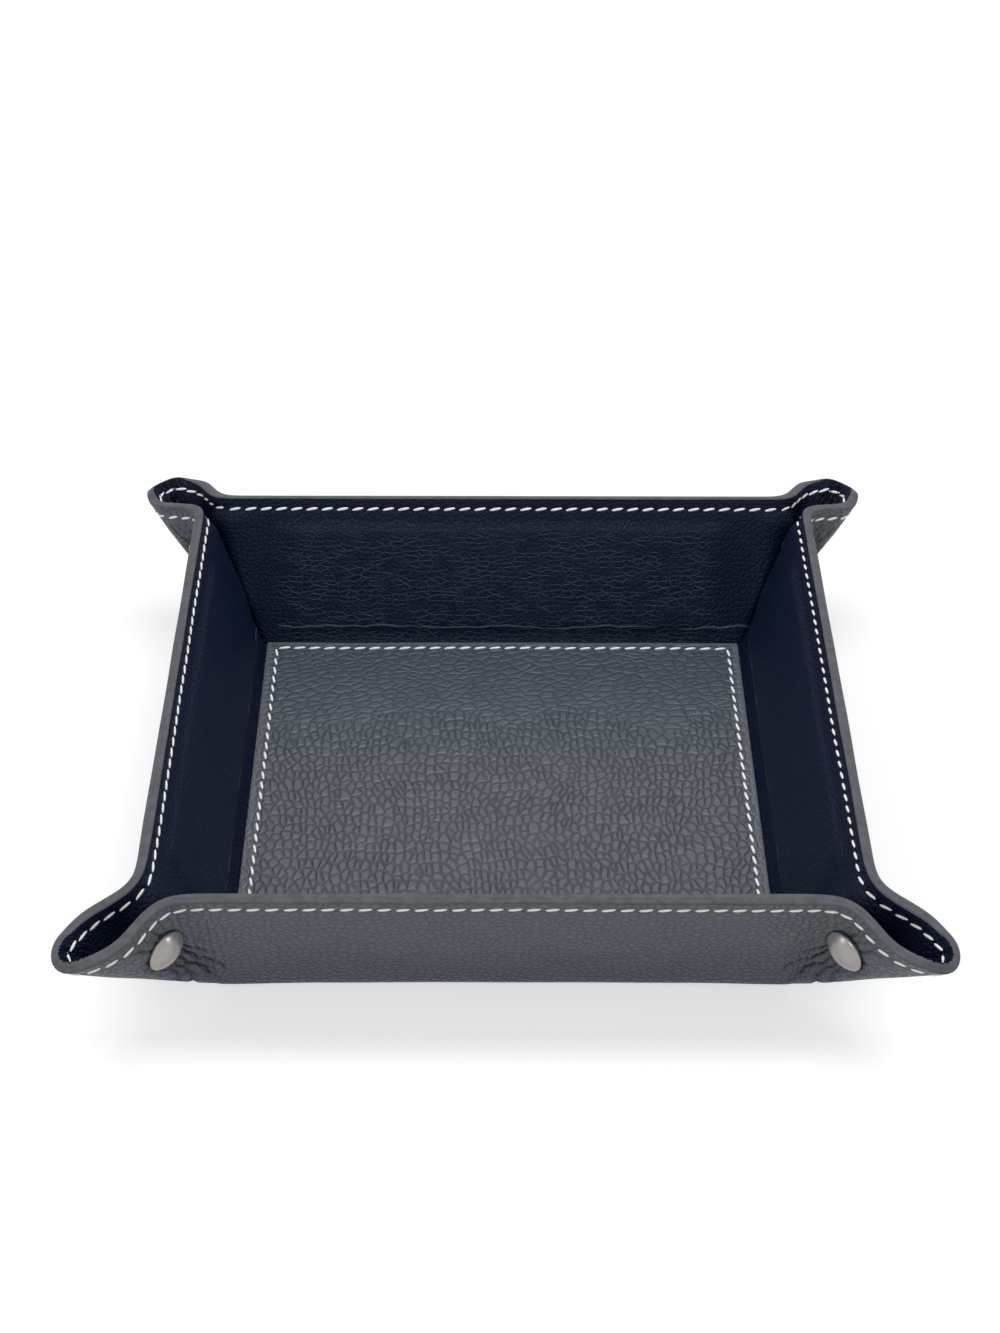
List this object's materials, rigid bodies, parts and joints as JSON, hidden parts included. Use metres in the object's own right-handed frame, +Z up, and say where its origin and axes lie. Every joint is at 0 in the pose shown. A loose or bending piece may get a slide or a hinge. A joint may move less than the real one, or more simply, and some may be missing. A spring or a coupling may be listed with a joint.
{
  "type": "valet tray",
  "caption": "Square leather valet tray with stiffened leaning walls, a raised stitched base panel and snapped corner ears that open so that it folds flat.",
  "frame": {"origin": "middle of the underside, on the surface that the tray stands on", "axes": "+Z up, the front wall faces -Y, +X to the right"},
  "size_m": [0.2446, 0.2446, 0.0504],
  "materials": {
    "outer_leather": "pebbled slate-grey leather with a smooth painted edge",
    "lining_leather": "pebbled near-black leather lining",
    "panel_leather": "pebbled dark slate leather",
    "board": "plain grey fibreboard",
    "thread": "waxed white thread",
    "snap_metal": "satin gunmetal"
  },
  "bodies": {
    "base": {"base_outer_leather": "outer_leather", "base_board": "board", "base_lining": "lining_leather", "base_panel": "panel_leather", "base_panel_stitching": "thread"},
    "front_wall": {"front_wall_outer_leather": "outer_leather", "front_wall_board": "board", "front_wall_lining": "lining_leather", "front_wall_rim_stitching": "thread"},
    "rear_wall": {"rear_wall_outer_leather": "outer_leather", "rear_wall_board": "board", "rear_wall_lining": "lining_leather", "rear_wall_rim_stitching": "thread"},
    "right_wall": {"right_wall_outer_leather": "outer_leather", "right_wall_board": "board", "right_wall_lining": "lining_leather", "right_wall_rim_stitching": "thread"},
    "left_wall": {"left_wall_outer_leather": "outer_leather", "left_wall_board": "board", "left_wall_lining": "lining_leather", "left_wall_rim_stitching": "thread"},
    "rear_right_cap_half": {"rear_right_cap_leaf": "outer_leather", "rear_right_snap_cap": "snap_metal", "rear_right_snap_socket": "snap_metal"},
    "rear_right_cap_end": {"rear_right_cap_tip": "outer_leather"},
    "rear_right_stud_half": {"rear_right_stud_leaf": "outer_leather", "rear_right_snap_stud": "snap_metal", "rear_right_snap_post": "snap_metal"},
    "rear_right_stud_end": {"rear_right_stud_tip": "outer_leather"},
    "rear_left_cap_half": {"rear_left_cap_leaf": "outer_leather", "rear_left_snap_cap": "snap_metal", "rear_left_snap_socket": "snap_metal"},
    "rear_left_cap_end": {"rear_left_cap_tip": "outer_leather"},
    "rear_left_stud_half": {"rear_left_stud_leaf": "outer_leather", "rear_left_snap_stud": "snap_metal", "rear_left_snap_post": "snap_metal"},
    "rear_left_stud_end": {"rear_left_stud_tip": "outer_leather"},
    "front_right_cap_half": {"front_right_cap_leaf": "outer_leather", "front_right_snap_cap": "snap_metal", "front_right_snap_socket": "snap_metal"},
    "front_right_cap_end": {"front_right_cap_tip": "outer_leather"},
    "front_right_stud_half": {"front_right_stud_leaf": "outer_leather", "front_right_snap_stud": "snap_metal", "front_right_snap_post": "snap_metal"},
    "front_right_stud_end": {"front_right_stud_tip": "outer_leather"},
    "front_left_cap_half": {"front_left_cap_leaf": "outer_leather", "front_left_snap_cap": "snap_metal", "front_left_snap_socket": "snap_metal"},
    "front_left_cap_end": {"front_left_cap_tip": "outer_leather"},
    "front_left_stud_half": {"front_left_stud_leaf": "outer_leather", "front_left_snap_stud": "snap_metal", "front_left_snap_post": "snap_metal"},
    "front_left_stud_end": {"front_left_stud_tip": "outer_leather"}
  },
  "joints": [
    {"name": "front_wall_fold", "type": "hinge", "parent": "base", "child": "front_wall", "pos_m": [0, -0.08056, 0.0016], "axis": [1, 0, 0], "range_deg": [0, 62]},
    {"name": "rear_wall_fold", "type": "hinge", "parent": "base", "child": "rear_wall", "pos_m": [0, 0.08056, 0.0016], "axis": [-1, 0, 0], "range_deg": [0, 62]},
    {"name": "right_wall_fold", "type": "hinge", "parent": "base", "child": "right_wall", "pos_m": [0.08056, 0, 0.0016], "axis": [0, 1, 0], "range_deg": [0, 62]},
    {"name": "left_wall_fold", "type": "hinge", "parent": "base", "child": "left_wall", "pos_m": [-0.08056, 0, 0.0016], "axis": [0, -1, 0], "range_deg": [0, 62]},
    {"name": "rear_right_cap_neck", "type": "hinge", "parent": "rear_wall", "child": "rear_right_cap_half", "pos_m": [0.08056, 0.08056, 0.0016], "axis": [-0.209, -0.3568, -0.9105], "range_deg": [0, 43.94]},
    {"name": "rear_right_cap_end_bend", "type": "hinge", "parent": "rear_right_cap_half", "child": "rear_right_cap_end", "pos_m": [0.08056, 0.08056, 0.0016], "axis": [0.4917, 0.615, 0.6164], "range_deg": [0, 78.59]},
    {"name": "rear_right_stud_neck", "type": "hinge", "parent": "right_wall", "child": "rear_right_stud_half", "pos_m": [0.08056, 0.08056, 0.0016], "axis": [0.3568, 0.209, 0.9105], "range_deg": [0, 43.94]},
    {"name": "rear_right_stud_end_bend", "type": "hinge", "parent": "rear_right_stud_half", "child": "rear_right_stud_end", "pos_m": [0.08056, 0.08056, 0.0016], "axis": [-0.615, -0.4917, -0.6164], "range_deg": [0, 78.59]},
    {"name": "rear_left_cap_neck", "type": "hinge", "parent": "rear_wall", "child": "rear_left_cap_half", "pos_m": [-0.08056, 0.08056, 0.0016], "axis": [-0.209, 0.3568, 0.9105], "range_deg": [0, 43.94]},
    {"name": "rear_left_cap_end_bend", "type": "hinge", "parent": "rear_left_cap_half", "child": "rear_left_cap_end", "pos_m": [-0.08056, 0.08056, 0.0016], "axis": [0.4917, -0.615, -0.6164], "range_deg": [0, 78.59]},
    {"name": "rear_left_stud_neck", "type": "hinge", "parent": "left_wall", "child": "rear_left_stud_half", "pos_m": [-0.08056, 0.08056, 0.0016], "axis": [0.3568, -0.209, -0.9105], "range_deg": [0, 43.94]},
    {"name": "rear_left_stud_end_bend", "type": "hinge", "parent": "rear_left_stud_half", "child": "rear_left_stud_end", "pos_m": [-0.08056, 0.08056, 0.0016], "axis": [-0.615, 0.4917, 0.6164], "range_deg": [0, 78.59]},
    {"name": "front_right_cap_neck", "type": "hinge", "parent": "front_wall", "child": "front_right_cap_half", "pos_m": [0.08056, -0.08056, 0.0016], "axis": [0.209, -0.3568, 0.9105], "range_deg": [0, 43.94]},
    {"name": "front_right_cap_end_bend", "type": "hinge", "parent": "front_right_cap_half", "child": "front_right_cap_end", "pos_m": [0.08056, -0.08056, 0.0016], "axis": [-0.4917, 0.615, -0.6164], "range_deg": [0, 78.59]},
    {"name": "front_right_stud_neck", "type": "hinge", "parent": "right_wall", "child": "front_right_stud_half", "pos_m": [0.08056, -0.08056, 0.0016], "axis": [-0.3568, 0.209, -0.9105], "range_deg": [0, 43.94]},
    {"name": "front_right_stud_end_bend", "type": "hinge", "parent": "front_right_stud_half", "child": "front_right_stud_end", "pos_m": [0.08056, -0.08056, 0.0016], "axis": [0.615, -0.4917, 0.6164], "range_deg": [0, 78.59]},
    {"name": "front_left_cap_neck", "type": "hinge", "parent": "front_wall", "child": "front_left_cap_half", "pos_m": [-0.08056, -0.08056, 0.0016], "axis": [0.209, 0.3568, -0.9105], "range_deg": [0, 43.94]},
    {"name": "front_left_cap_end_bend", "type": "hinge", "parent": "front_left_cap_half", "child": "front_left_cap_end", "pos_m": [-0.08056, -0.08056, 0.0016], "axis": [-0.4917, -0.615, 0.6164], "range_deg": [0, 78.59]},
    {"name": "front_left_stud_neck", "type": "hinge", "parent": "left_wall", "child": "front_left_stud_half", "pos_m": [-0.08056, -0.08056, 0.0016], "axis": [-0.3568, -0.209, 0.9105], "range_deg": [0, 43.94]},
    {"name": "front_left_stud_end_bend", "type": "hinge", "parent": "front_left_stud_half", "child": "front_left_stud_end", "pos_m": [-0.08056, -0.08056, 0.0016], "axis": [0.615, 0.4917, -0.6164], "range_deg": [0, 78.59]}
  ],
  "couplings": [
    {"joint": "rear_wall_fold", "follows": "front_wall_fold", "ratio": 1},
    {"joint": "right_wall_fold", "follows": "front_wall_fold", "ratio": 1},
    {"joint": "left_wall_fold", "follows": "front_wall_fold", "ratio": 1},
    {"joint": "rear_right_cap_neck", "follows": "front_wall_fold", "ratio": 0.70856},
    {"joint": "rear_right_cap_end_bend", "follows": "front_wall_fold", "ratio": 1.2675},
    {"joint": "rear_right_stud_neck", "follows": "front_wall_fold", "ratio": 0.70856},
    {"joint": "rear_right_stud_end_bend", "follows": "front_wall_fold", "ratio": 1.2675},
    {"joint": "rear_left_cap_neck", "follows": "front_wall_fold", "ratio": 0.70856},
    {"joint": "rear_left_cap_end_bend", "follows": "front_wall_fold", "ratio": 1.2675},
    {"joint": "rear_left_stud_neck", "follows": "front_wall_fold", "ratio": 0.70856},
    {"joint": "rear_left_stud_end_bend", "follows": "front_wall_fold", "ratio": 1.2675},
    {"joint": "front_right_cap_neck", "follows": "front_wall_fold", "ratio": 0.70856},
    {"joint": "front_right_cap_end_bend", "follows": "front_wall_fold", "ratio": 1.2675},
    {"joint": "front_right_stud_neck", "follows": "front_wall_fold", "ratio": 0.70856},
    {"joint": "front_right_stud_end_bend", "follows": "front_wall_fold", "ratio": 1.2675},
    {"joint": "front_left_cap_neck", "follows": "front_wall_fold", "ratio": 0.70856},
    {"joint": "front_left_cap_end_bend", "follows": "front_wall_fold", "ratio": 1.2675},
    {"joint": "front_left_stud_neck", "follows": "front_wall_fold", "ratio": 0.70856},
    {"joint": "front_left_stud_end_bend", "follows": "front_wall_fold", "ratio": 1.2675}
  ]
}
